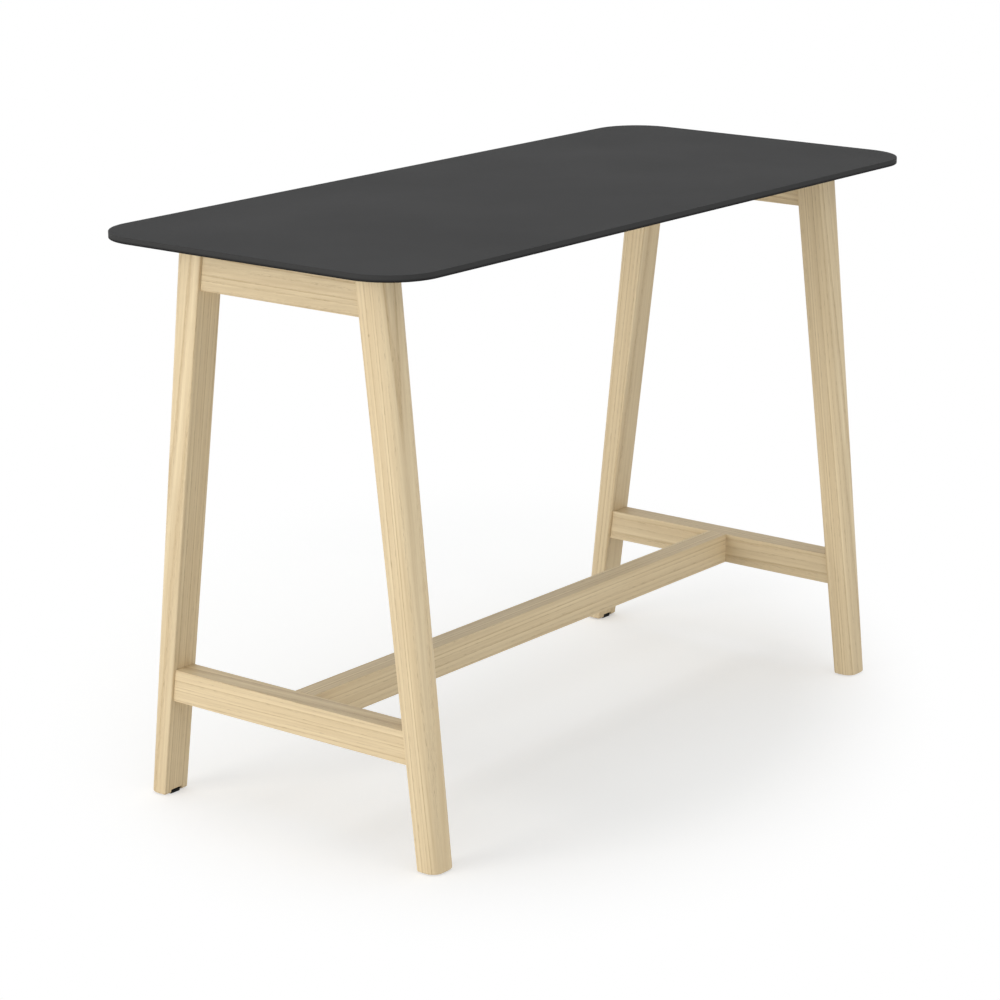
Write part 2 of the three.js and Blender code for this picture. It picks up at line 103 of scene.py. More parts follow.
class Workpiece:
    """A mesh on the bench: it starts as a primitive, is shaped in edit mode and ends as a finished piece."""

    def __init__(self, thing: bpy.types.Object) -> None:
        """Take an object to work on.

        Args:
            thing: The mesh object.
        """
        self.thing = thing

    @classmethod
    def block(cls, name: str, low: Vector, high: Vector) -> "Workpiece":
        """Start from a block of wood or board between two corners.

        Args:
            name: The piece's name.
            low: Its lowest corner in metres.
            high: Its highest corner in metres.

        Returns:
            The new workpiece.
        """
        start_clean()
        middle = (Vector(low) + Vector(high)) / 2
        bpy.ops.mesh.primitive_cube_add(size=1, location=middle)
        piece = cls(bpy.context.object)
        piece.thing.name = name
        piece.thing.scale = Vector(high) - Vector(low)
        piece.settle()
        return piece

    @classmethod
    def bar(cls, name: str, radius: float, bottom: float, top: float, sides: int = 48) -> "Workpiece":
        """Start from an upright round or many-sided bar on the Z axis.

        Args:
            name: The piece's name.
            radius: Its radius in metres, to the corners.
            bottom: The height of its lower end.
            top: The height of its upper end.
            sides: How many sides it has.

        Returns:
            The new workpiece.
        """
        start_clean()
        middle = (0, 0, (bottom + top) / 2)
        bpy.ops.mesh.primitive_cylinder_add(vertices=sides, radius=radius, depth=top - bottom, location=middle)
        piece = cls(bpy.context.object)
        piece.thing.name = name
        piece.settle()
        return piece

    def activate(self) -> None:
        """Make this the only selected object."""
        start_clean()
        self.thing.select_set(True)
        bpy.context.view_layer.objects.active = self.thing

    def settle(self) -> None:
        """Put the object's place, turn and scale into its mesh."""
        self.activate()
        bpy.ops.object.transform_apply(location=True, rotation=True, scale=True)

    @contextmanager
    def editing(self) -> Iterator[None]:
        """Open edit mode on this piece alone, with nothing selected."""
        self.activate()
        bpy.ops.object.mode_set(mode="EDIT")
        bpy.ops.mesh.select_all(action="DESELECT")
        yield
        bpy.ops.object.mode_set(mode="OBJECT")

    def pick_points(self, test: Callable[[Vector], bool]) -> None:
        """Select, in edit mode, the points whose place passes the test."""
        bpy.ops.mesh.select_mode(type="VERT")
        bpy.ops.mesh.select_all(action="DESELECT")
        shape = bmesh.from_edit_mesh(self.thing.data)
        for point in shape.verts:
            point.select_set(test(point.co))
        bmesh.update_edit_mesh(self.thing.data)

    def pick_edges(self, test: Callable[[Vector, Vector], bool]) -> None:
        """Select, in edit mode, the edges whose middle and direction pass the test."""
        bpy.ops.mesh.select_mode(type="EDGE")
        bpy.ops.mesh.select_all(action="DESELECT")
        shape = bmesh.from_edit_mesh(self.thing.data)
        for edge in shape.edges:
            start, end = (point.co for point in edge.verts)
            if test((start + end) / 2, (end - start).normalized()):
                edge.select_set(True)
        bmesh.update_edit_mesh(self.thing.data)

    def pick_faces(self, test: Callable[[Vector, Vector], bool]) -> None:
        """Select, in edit mode, the faces whose middle and normal pass the test."""
        bpy.ops.mesh.select_mode(type="FACE")
        bpy.ops.mesh.select_all(action="DESELECT")
        shape = bmesh.from_edit_mesh(self.thing.data)
        for face in shape.faces:
            if test(face.calc_center_median(), face.normal):
                face.select_set(True)
        bmesh.update_edit_mesh(self.thing.data)

    def shift(self, offset: Vector) -> None:
        """Move what is selected."""
        bpy.ops.transform.translate(value=offset)

    def round_over(self, radius: float, steps: int) -> None:
        """Round the selected edges to a radius."""
        bpy.ops.mesh.bevel(offset=radius, offset_type="OFFSET", segments=steps, affect="EDGES")

    def narrow(self, amount: float) -> None:
        """Draw a smaller face inside the selected one."""
        bpy.ops.mesh.inset(thickness=amount)

    def pull(self, rise: float) -> None:
        """Extrude what is selected straight up, or down where the rise is negative."""
        bpy.ops.mesh.extrude_region_move(TRANSFORM_OT_translate={"value": (0, 0, rise)})

    def shrink(self, share: float) -> None:
        """Scale what is selected in X and Y about the Z axis."""
        bpy.ops.transform.resize(value=(share, share, 1), center_override=(0, 0, 0))

    def cut_with(self, *tools: "Workpiece") -> None:
        """Cut tools out of the piece and throw them away.

        Args:
            tools: Closed workpieces that overlap this one.
        """
        for tool in tools:
            self.activate()
            cut = self.thing.modifiers.new("cut", "BOOLEAN")
            cut.operation = "DIFFERENCE"
            cut.solver = "EXACT"
            cut.object = tool.thing
            bpy.ops.object.modifier_apply(modifier=cut.name)
            bpy.data.objects.remove(tool.thing)

    def join(self, other: "Workpiece") -> None:
        """Make another workpiece part of this mesh."""
        self.activate()
        other.thing.select_set(True)
        bpy.ops.object.join()

    def copy(self, name: str, turn: float = 0.0, place: Vector = Vector()) -> "Workpiece":
        """Copy the piece with a mesh of its own.

        Args:
            name: The copy's name.
            turn: How far the copy is turned about the Z axis.
            place: Where the copy goes after that.

        Returns:
            The copy.
        """
        self.activate()
        bpy.ops.object.duplicate(linked=False)
        twin = Workpiece(bpy.context.object)
        twin.thing.name = name
        twin.thing.rotation_euler = (0, 0, turn)
        twin.thing.location = place
        twin.settle()
        return twin

    def discard(self) -> None:
        """Throw away a pattern piece that was only there to be copied."""
        bpy.data.objects.remove(self.thing)

    def smooth(self, angle: float = math.radians(40)) -> None:
        """Shade curves smooth, and keep flat faces flat."""
        self.activate()
        bpy.ops.object.shade_smooth_by_angle(angle=angle)
        even = self.thing.modifiers.new("even", "WEIGHTED_NORMAL")
        even.keep_sharp = True
        bpy.ops.object.modifier_apply(modifier=even.name)

    def install(self, node: str, body: str, slot: Slot, *coats: bpy.types.Material) -> None:
        """Dress the piece and let it stand for its solid.

        Args:
            node: The solid that it replaces.
            body: The moving body that it rides on.
            slot: The finish that it is made in; not used.
            coats: Its materials, the main one first.
        """
        self.smooth()
        self.thing.data.materials.clear()
        for coat in coats:
            self.thing.data.materials.append(coat)
        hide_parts(node)
        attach(self.thing, body)
        logger.info("%s: %d faces, on %s", self.thing.name, len(self.thing.data.polygons), body)


def dress_solid(node: str, coat: bpy.types.Material) -> None:
    """Give a solid that keeps its own shape a better material.

    Args:
        node: The solid's name.
        coat: The material.
    """
    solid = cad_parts[node]
    for holder in solid.material_slots:
        holder.material = coat
    logger.info("%s: keeps its solid, in %s", node, coat.name)


class Recipe:
    """The node tree of one material while it is put together."""

    def __init__(self, name: str) -> None:
        """Start an empty material with a shader and an output.

        Args:
            name: The material's name.
        """
        self.material = bpy.data.materials.new(name)
        self.material.use_nodes = True
        self.tree = self.material.node_tree
        self.tree.nodes.clear()
        self.shader = self.add("ShaderNodeBsdfPrincipled")
        output = self.add("ShaderNodeOutputMaterial")
        self.tree.links.new(self.shader.outputs["BSDF"], output.inputs["Surface"])
        self.place = self.add("ShaderNodeTexCoord").outputs["Object"]

    def add(self, kind: str, settings: Optional[dict] = None, **sockets: SocketValue) -> bpy.types.Node:
        """Add a node.

        Args:
            kind: The node's type.
            settings: Options of the node itself.
            sockets: Its inputs, by name with _ for a space: a value, or another node's output.

        Returns:
            The node.
        """
        node = self.tree.nodes.new(kind)
        for key, value in (settings or {}).items():
            setattr(node, key, value)
        for key, value in sockets.items():
            self.feed(node, key.replace("_", " "), value)
        return node

    def feed(self, node: bpy.types.Node, key: str, value: SocketValue) -> None:
        """Set one input of a node, or link another node's output to it."""
        socket = next(entry for entry in node.inputs if entry.name == key and entry.enabled)
        if isinstance(value, bpy.types.NodeSocket):
            self.tree.links.new(value, socket)
        else:
            socket.default_value = value

    def finish(self, **sockets: SocketValue) -> bpy.types.Material:
        """Set the shader's inputs and give the material back."""
        for key, value in sockets.items():
            self.feed(self.shader, key.replace("_", " "), value)
        return self.material

    def mapped(
        self, source: Socket, scale: Colour, turn: Euler = Euler(), offset: Vector = Vector()
    ) -> Socket:
        """Turn, move and stretch a pattern's coordinates."""
        node = self.add("ShaderNodeMapping", Vector=source, Location=offset, Rotation=turn, Scale=scale)
        return node.outputs["Vector"]

    def swayed(self, source: Socket, scale: float, reach: float) -> Socket:
        """Let a pattern's coordinates wander sideways along the fibres.

        Args:
            source: The coordinates, with the fibres along Z.
            scale: How closely the turns follow each other.
            reach: How far they go to the side, in metres.

        Returns:
            The wandering coordinates.
        """
        slow = self.mapped(source, (1, 1, 0.16))
        drift = self.add("ShaderNodeTexNoise", Vector=slow, Scale=scale, Detail=1.0).outputs["Color"]
        total = self.add("ShaderNodeVectorMath", {"operation": "ADD"}, Vector=source)
        self.tree.links.new(self.mapped(drift, (reach, reach, 0)), total.inputs[1])
        return total.outputs["Vector"]

    def length(self, source: Socket) -> Socket:
        """How far a place is from the origin of its coordinates."""
        return self.add("ShaderNodeVectorMath", {"operation": "LENGTH"}, Vector=source).outputs["Value"]

    def noise(self, source: Socket, scale: float, detail: float = 2.0, rough: float = 0.5) -> Socket:
        """Cloudy noise from 0 to 1."""
        node = self.add("ShaderNodeTexNoise", Vector=source, Scale=scale, Detail=detail, Roughness=rough)
        return node.outputs["Fac"]

    def ripple(self, source: Socket, scale: float, detail: float = 2.0, rough: float = 0.5) -> Socket:
        """Noise along one measure alone, from 0 to 1."""
        line = {"noise_dimensions": "1D"}
        node = self.add("ShaderNodeTexNoise", line, W=source, Scale=scale, Detail=detail, Roughness=rough)
        return node.outputs["Fac"]

    def span(self, source: Socket, low: float, high: float, to_low: float, to_high: float) -> Socket:
        """Spread a band of values over another one."""
        node = self.add("ShaderNodeMapRange", Value=source)
        for key, value in {"From Min": low, "From Max": high, "To Min": to_low, "To Max": to_high}.items():
            node.inputs[key].default_value = value
        return node.outputs["Result"]

    def math(self, way: str, first: SocketValue, second: SocketValue) -> Socket:
        """One sum of two values."""
        node = self.tree.nodes.new("ShaderNodeMath")
        node.operation = way
        for socket, value in zip(node.inputs, (first, second)):
            if isinstance(value, bpy.types.NodeSocket):
                self.tree.links.new(value, socket)
            else:
                socket.default_value = value
        return node.outputs["Value"]

    def blend(self, share: SocketValue, first: SocketValue, second: SocketValue, way: str = "MIX") -> Socket:
        """Mix two colours."""
        node = self.tree.nodes.new("ShaderNodeMix")
        node.data_type = "RGBA"
        node.blend_type = way
        sockets = [entry for entry in node.inputs if entry.enabled]
        for socket, value in zip(sockets, (share, first, second)):
            if isinstance(value, bpy.types.NodeSocket):
                self.tree.links.new(value, socket)
            elif isinstance(value, tuple):
                socket.default_value = (*value, 1.0)
            else:
                socket.default_value = value
        return next(entry for entry in node.outputs if entry.enabled)

    def bump(self, height: Socket, strength: float, depth: float) -> Socket:
        """Raise the surface by a pattern."""
        node = self.add("ShaderNodeBump", Height=height, Strength=strength, Distance=depth)
        return node.outputs["Normal"]


@dataclass(frozen=True)
class Grain:
    """How a piece was sawn: where its fibres run and where the tree's middle was."""

    centre: Vector
    turn: Euler
    pith: tuple[float, float]
    along: float = 0.0
    # The piece's tone: partly the timber's own, partly painted light and shade.
    tone: float = 1.0
    knot: Optional[Vector] = None

    @property
    def offset(self) -> Vector:
        """What the pattern is moved by, once it is turned so that the fibres run along Z."""
        return Vector((*self.pith, self.along)) - self.turn.to_matrix() @ self.centre


@dataclass(frozen=True)
class Timber:
    """A matt lacquered timber with growth rings, fibres and pores."""

    name: str
    early: Colour
    late: Colour
    pore: Colour
    ring_width: float = 0.0085
    ring_share: float = 0.95
    band_share: float = 0.45
    sway_scale: float = 6.0
    sway_reach: float = 0.016
    roughness: float = 0.5
    specular: float = 0.3

    def coat(self, name: str, grain: Grain) -> bpy.types.Material:
        """Make the timber for one piece.

        Args:
            name: The piece that it is for.
            grain: How that piece was sawn.

        Returns:
            The material.
        """
        recipe = Recipe(f"{self.name}_{name}")
        sawn = recipe.mapped(recipe.place, (1, 1, 1), grain.turn, grain.offset)
        grown = recipe.swayed(sawn, self.sway_scale, self.sway_reach)
        radius = recipe.length(recipe.mapped(grown, (1, 1, 0)))
        uneven = recipe.math("MULTIPLY", recipe.ripple(radius, 45), 1.6)
        years = recipe.math("ADD", recipe.math("DIVIDE", radius, self.ring_width), uneven)
        ring = recipe.math("FRACT", years, 0.0)
        line = recipe.math("MINIMUM", recipe.span(ring, 0.52, 0.86, 0, 1), recipe.span(ring, 0.86, 1, 1, 0))
        vigour = recipe.span(recipe.ripple(radius, 95, 1), 0.35, 0.65, 0.2, self.ring_share)
        bands = recipe.span(recipe.ripple(radius, 62, 3, 0.6), 0.34, 0.66, 0, self.band_share)
        fibres = recipe.noise(recipe.mapped(sawn, (1, 1, 0.012)), 620, 3, 0.6)
        streaks = recipe.noise(recipe.mapped(sawn, (1, 1, 0.02)), 150, 2, 0.5)
        clouds = recipe.noise(recipe.mapped(sawn, (1, 1, 0.12)), 9, 2, 0.5)
        dashes = recipe.noise(recipe.mapped(sawn, (1, 1, 0.04)), 1400, 1, 0.5)
        late = recipe.math("MULTIPLY", line, recipe.span(fibres, 0.3, 0.65, 0.55, 1.2))
        pores = recipe.math("MULTIPLY", recipe.span(dashes, 0.58, 0.68, 0, 1), recipe.span(line, 0, 1, 0.12, 0.8))
        body = recipe.blend(bands, self.early, self.late)
        body = recipe.blend(recipe.math("MULTIPLY", late, vigour), body, self.late)
        body = recipe.blend(recipe.span(streaks, 0.35, 0.7, 0, 0.35), body, self.late)
        body = recipe.blend(recipe.span(fibres, 0.4, 0.75, 0, 0.3), body, self.late)
        body = recipe.blend(pores, body, self.pore)
        # The clouds are scaled by the piece's tone, which is partly painted light and shade.
        shade = recipe.span(clouds, 0.3, 0.7, 0.955 * grain.tone, 1.045 * grain.tone)
        colour = recipe.add("ShaderNodeHueSaturation", Color=body, Value=shade).outputs["Color"]
        if grain.knot is not None:
            colour = self.with_knot(recipe, colour, grain.knot)
        height = recipe.math("SUBTRACT", recipe.math("MULTIPLY", fibres, 0.6), pores)
        return recipe.finish(
            Base_Color=colour,
            Roughness=recipe.span(fibres, 0.3, 0.7, self.roughness - 0.06, self.roughness + 0.08),
            Specular_IOR_Level=self.specular,
            Normal=recipe.bump(height, 0.25, 0.0002),
        )

    def with_knot(self, recipe: Recipe, colour: Socket, knot: Vector) -> Socket:
        """Set a pin knot into the timber.

        Args:
            recipe: The material being made.
            colour: The timber's colour so far.
            knot: Where the knot comes to the surface.

        Returns:
            The colour with the knot in it.
        """
        stretch = Vector((1, 1, 0.8))
        near = recipe.mapped(recipe.place, tuple(stretch), Euler(), -knot * stretch)
        ring = recipe.span(recipe.length(near), 0.0008, 0.0028, 0.6, 0.0)
        return recipe.blend(ring, colour, self.pore)


ASH = Timber(
    name="ash",
    early=(0.865, 0.720, 0.476),
    late=(0.590, 0.440, 0.247),
    pore=(0.430, 0.310, 0.175),
)
BEECH = Timber(
    name="beech",
    early=(0.640, 0.430, 0.220),
    late=(0.500, 0.310, 0.145),
    pore=(0.330, 0.190, 0.085),
    ring_width=0.0030,
    roughness=0.6,
)


@dataclass(frozen=True)
class Laminate:
    """A matt dark grey board face with a very fine texture."""

    name: str
    colour: Colour
    roughness: float = 0.72
    specular: float = 0.06
    ribs: float = 0.0
    rim: float = 0.0
    # Painted shade on the edge: how high it reaches, and its share at the lower rim and at the top.
    rim_height: float = 0.0055
    rim_shade: float = 0.05
    edge_shade: float = 1.06

    def coat(self) -> bpy.types.Material:
        """Make the board's face, or its edge with ribs from the router and painted shade that darkens it towards the
        lower rim and lightens it a little at the top.
        """
        recipe = Recipe(self.name)
        speckle = recipe.noise(recipe.place, 2600, 2, 0.6)
        pebble = recipe.noise(recipe.place, 900, 2, 0.5)
        haze = recipe.noise(recipe.place, 3.5, 3, 0.5)
        shade = recipe.math(
            "ADD",
            recipe.span(speckle, 0.3, 0.7, 0.9, 1.06),
            recipe.span(haze, 0.3, 0.7, -0.02, 0.03),
        )
        if self.ribs:
            # Painted shade on the edge: darker towards the lower rim, a little lighter than the face at the top.
            level = recipe.add("ShaderNodeSeparateXYZ", Vector=recipe.place).outputs["Z"]
            painted_edge_shade = recipe.span(level, self.rim, self.rim + self.rim_height, self.rim_shade, self.edge_shade)
            shade = recipe.math("MULTIPLY", shade, painted_edge_shade)
        tint = recipe.add("ShaderNodeHueSaturation", Color=(*self.colour, 1.0), Value=shade)
        roughness = recipe.math(
            "ADD",
            recipe.span(haze, 0.3, 0.7, -0.04, 0.05),
            recipe.span(speckle, 0, 1, self.roughness - 0.05, self.roughness + 0.05),
        )
        height = pebble
        if self.ribs:
            drawn = recipe.noise(recipe.mapped(recipe.place, (0.01, 0.01, 1)), self.ribs, 2, 0.5)
            height = recipe.math("ADD", pebble, recipe.math("MULTIPLY", drawn, 2.0))
        return recipe.finish(
            Base_Color=tint.outputs["Color"],
            Roughness=roughness,
            Specular_IOR_Level=self.specular,
            Normal=recipe.bump(height, 0.12, 0.00008),
        )


@dataclass(frozen=True)
class ZincPlate:
    """Bright zinc plate on steel, with the faint marks of handling."""

    name: str = "zinc_plate"
    bright: Colour = (0.62, 0.65, 0.68)
    dull: Colour = (0.42, 0.44, 0.46)

    def coat(self) -> bpy.types.Material:
        """Make the plated steel."""
        recipe = Recipe(self.name)
        spangle = recipe.noise(recipe.place, 420, 3, 0.6)
        scratches = recipe.noise(recipe.mapped(recipe.place, (1, 1, 0.06)), 2400, 2, 0.6)
        return recipe.finish(
            Base_Color=recipe.blend(recipe.span(spangle, 0.35, 0.7, 0, 1), self.bright, self.dull),
            Metallic=1.0,
            Roughness=recipe.span(spangle, 0.3, 0.7, 0.28, 0.46),
            Normal=recipe.bump(scratches, 0.15, 0.00005),
        )


@dataclass(frozen=True)
class Nylon:
    """Moulded black nylon with a fine spark-eroded grain, dusty near the floor."""

    name: str = "black_nylon"
    colour: Colour = (0.004, 0.004, 0.0045)
    dust: Colour = (0.012, 0.0115, 0.011)
    dust_height: float = 0.003
    specular: float = 0.12

    def coat(self) -> bpy.types.Material:
        """Make the moulded nylon."""
        recipe = Recipe(self.name)
        pebble = recipe.noise(recipe.place, 2200, 2, 0.6)
        height = recipe.add("ShaderNodeSeparateXYZ", Vector=recipe.place).outputs["Z"]
        low = recipe.span(height, 0, self.dust_height, 0.5, 0)
        return recipe.finish(
            Base_Color=recipe.blend(recipe.math("MULTIPLY", low, pebble), self.colour, self.dust),
            Roughness=recipe.span(pebble, 0.3, 0.7, 0.42, 0.6),
            Specular_IOR_Level=self.specular,
            Normal=recipe.bump(pebble, 0.2, 0.0001),
        )


@dataclass
class Finishes:
    """The finishes that several pieces share."""

    face: bpy.types.Material
    edge: bpy.types.Material
    zinc: bpy.types.Material
    nylon: bpy.types.Material

    @classmethod
    def mix(cls) -> "Finishes":
        """Make each shared finish once."""
        return cls(
            face=Laminate("laminate_face", (0.047, 0.047, 0.047)).coat(),
            edge=Laminate("laminate_edge", (0.047, 0.047, 0.047), ribs=2400, rim=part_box("tabletop")[0].z).coat(),
            zinc=ZincPlate().coat(),
            nylon=Nylon().coat(),
        )


@dataclass
class Tabletop:
    """The thin board, with round corners and eased edges."""

    finishes: Finishes
    corner_radius: float = 0.100
    corner_steps: int = 32
    edge_ease: float = 0.001
    ease_steps: int = 3

    def build(self) -> None:
        """Shape the board from a block and dress its faces and its edge."""
        low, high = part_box("tabletop")
        board = Workpiece.block("finished_tabletop", low, high)
        with board.editing():
            board.pick_edges(lambda middle, run: abs(run.z) > 0.9)
            board.round_over(self.corner_radius, self.corner_steps)
            board.pick_edges(lambda middle, run: not low.z + SAME_PLACE < middle.z < high.z - SAME_PLACE)
            board.round_over(self.edge_ease, self.ease_steps)
        board.install("tabletop", "table", Slot.LAMINATE, self.finishes.face, self.finishes.edge)
        for face in board.thing.data.polygons:
            face.material_index = 1 if -0.99 < face.normal.z < 0.5 else 0


@dataclass
class LevellingFoot:
    """A screw-in foot: a nylon glide on the floor and a plated stem that turns in it."""

    finishes: Finishes
    glide_width: float = 0.026
    glide_length: float = 0.028
    glide_corner: float = 0.004
    glide_height: float = 0.0058
    glide_ease: float = 0.001
    socket_radius: float = 0.0056
    socket_floor: float = 0.002
    collar_radius: float = 0.0053
    collar_bottom: float = 0.0023
    collar_height: float = 0.002
    stem_radius: float = 0.00385
    stem_top: float = 0.041
    hex_flats: float = 0.012
    hex_bottom: float = 0.0061
    hex_height: float = 0.0024
    thread_pitch: float = 0.00125
    thread_root: float = 0.84

    def glide_pattern(self) -> Workpiece:
        """Shape a glide on the Z axis: a block with round corners, eased edges and a socket for the stem."""
        half = Vector((self.glide_width / 2, self.glide_length / 2, 0))
        glide = Workpiece.block("glide_pattern", -half, half + Vector((0, 0, self.glide_height)))
        rim = self.glide_height - SAME_PLACE
        with glide.editing():
            glide.pick_edges(lambda middle, run: SAME_PLACE < middle.z < rim)
            glide.round_over(self.glide_corner, 8)
            glide.pick_edges(lambda middle, run: not SAME_PLACE < middle.z < rim)
            glide.round_over(self.glide_ease, 4)
        socket_top = self.glide_height + CUT_MARGIN
        glide.cut_with(Workpiece.bar("socket_cutter", self.socket_radius, self.socket_floor, socket_top))
        return glide

    def stem_pattern(self) -> Workpiece:
        """Shape a stem on the Z axis: a collar, a hexagon for the spanner and a threaded rod."""
        collar_top = self.collar_bottom + self.collar_height
        stem = Workpiece.bar("stem_pattern", self.collar_radius, self.collar_bottom, collar_top, 32)
        thread_start = self.hex_bottom + self.hex_height
        turns = int((self.stem_top - thread_start) / self.thread_pitch) - 1
        with stem.editing():
            stem.pick_faces(lambda middle, normal: normal.z > 0.9)
            stem.narrow(self.collar_radius - self.stem_radius)
            stem.pull(thread_start - collar_top)
            for _ in range(turns):
                stem.pull(self.thread_pitch / 2)
                stem.shrink(self.thread_root)
                stem.pull(self.thread_pitch / 2)
                stem.shrink(1 / self.thread_root)
            stem.pull(self.stem_top - thread_start - turns * self.thread_pitch)
            stem.shrink(self.thread_root)
        nut = Workpiece.bar("stem_hexagon", self.hex_flats / math.sqrt(3), self.hex_bottom, thread_start, 6)
        with nut.editing():
            nut.pick_edges(lambda middle, run: True)
            nut.round_over(0.0004, 2)
        stem.join(nut)
        return stem

    def build(self) -> None:
        """Copy a glide and a stem to each corner, and dress the sleeves they screw into."""
        glide = self.glide_pattern()
        stem = self.stem_pattern()
        for end in End:
            for side in Side:
                corner = f"{side.label}_{end.label}"
                low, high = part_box(f"levelling_glide_{corner}")
                place = Vector(((low.x + high.x) / 2, (low.y + high.y) / 2, 0))
                foot = glide.copy(f"finished_glide_{corner}", 0, place)
                foot.install(f"levelling_glide_{corner}", f"glide_{corner}", Slot.NYLON, self.finishes.nylon)
                rod = stem.copy(f"finished_stem_{corner}", 0, place)
                rod.install(f"levelling_stem_{corner}", f"stem_{corner}", Slot.ZINC, self.finishes.zinc)
                dress_solid(f"insert_sleeve_{corner}", self.finishes.zinc)
        glide.discard()
        stem.discard()


@dataclass
class ScrewPocket:
    """The way for a screw that is driven up into the top: a pocket for its head."""

    radius: float = 0.006
    seat: float = 1.0237

    def tool(self, bottom: float, x: float, y: float) -> Workpiece:
        """Make the cutter for one pocket.

        Args:
            bottom: The height of the face that the pocket starts from.
            x: Where it is along the table.
            y: Where it is across the table.

        Returns:
            The cutter.
        """
        cutter = Workpiece.bar("pocket_cutter", self.radius, bottom - CUT_MARGIN, self.seat, 32)
        cutter.thing.location = (x, y, 0)
        cutter.settle()
        return cutter


@dataclass(frozen=True)
class Board:
    """The board that a piece was sawn from: where the tree's middle was, how its fibres run out, and its tone, which
    is partly the timber's own and partly painted light and shade.
    """

    pith: tuple[float, float]
    tilt: float
    tone: float = 1.0


# Each board's tone is partly the timber's own and partly painted light and shade for how the lamps fall on that
# piece; the upper left rail is darkened as painted shadow under the top's overhang.
LEG_BOARDS = {
    "front_left": Board((0.03, 0.17), 0.006, 1.06),
    "back_left": Board((-0.17, 0.05), -0.009),
    "front_right": Board((0.05, -0.17), 0.012, 1.01),
    "back_right": Board((-0.04, -0.18), -0.005, 0.98),
}
RAIL_BOARDS = {
    "upper_left": Board((0.14, 0.08), 0.045, 0.955),
    "lower_left": Board((0.05, -0.17), 0.012, 1.05),
    "upper_right": Board((-0.12, 0.12), -0.03),
    "lower_right": Board((-0.15, -0.09), -0.01, 0.945),
}


